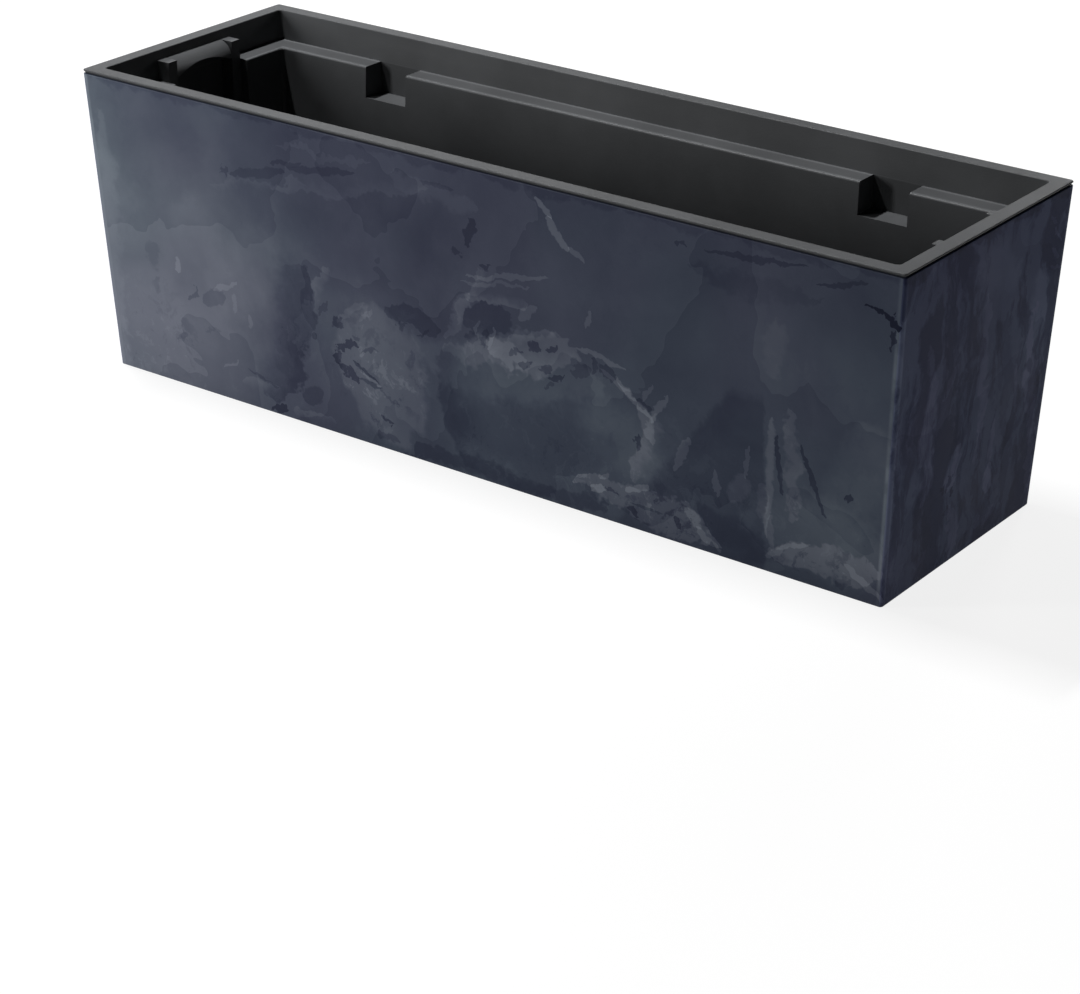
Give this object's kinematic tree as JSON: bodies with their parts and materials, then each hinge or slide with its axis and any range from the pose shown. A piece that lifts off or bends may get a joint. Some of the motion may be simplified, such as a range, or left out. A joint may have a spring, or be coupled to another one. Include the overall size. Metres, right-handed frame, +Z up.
{
  "type": "planter",
  "caption": "Long rectangular planter: drafted outer case, lift-out liner with a flat rim, a pocketed ledge and end grips, and an overflow plug in the case floor.",
  "frame": {"origin": "on the ground under the middle of the planter", "axes": "+X along the long side, +Y from front to back, +Z up"},
  "size_m": [0.58, 0.18, 0.195],
  "materials": {
    "marbled_case": "moulded plastic marbled in slate blue and anthracite, satin",
    "liner_plastic": "plain anthracite moulded plastic, satin",
    "plug_plastic": "plain near-black moulded plastic, satin"
  },
  "bodies": {
    "case": {"outer_case": "marbled_case"},
    "liner": {"liner": "liner_plastic"},
    "plug": {"overflow_plug": "plug_plastic"}
  },
  "joints": [
    {"name": "liner_lift", "type": "slide", "parent": "case", "child": "liner", "axis": [0, 0, 1], "range_m": [0, 0.165]},
    {"name": "plug_pull", "type": "slide", "parent": "case", "child": "plug", "axis": [0, 0, -1], "range_m": [0, 0.02]}
  ]
}
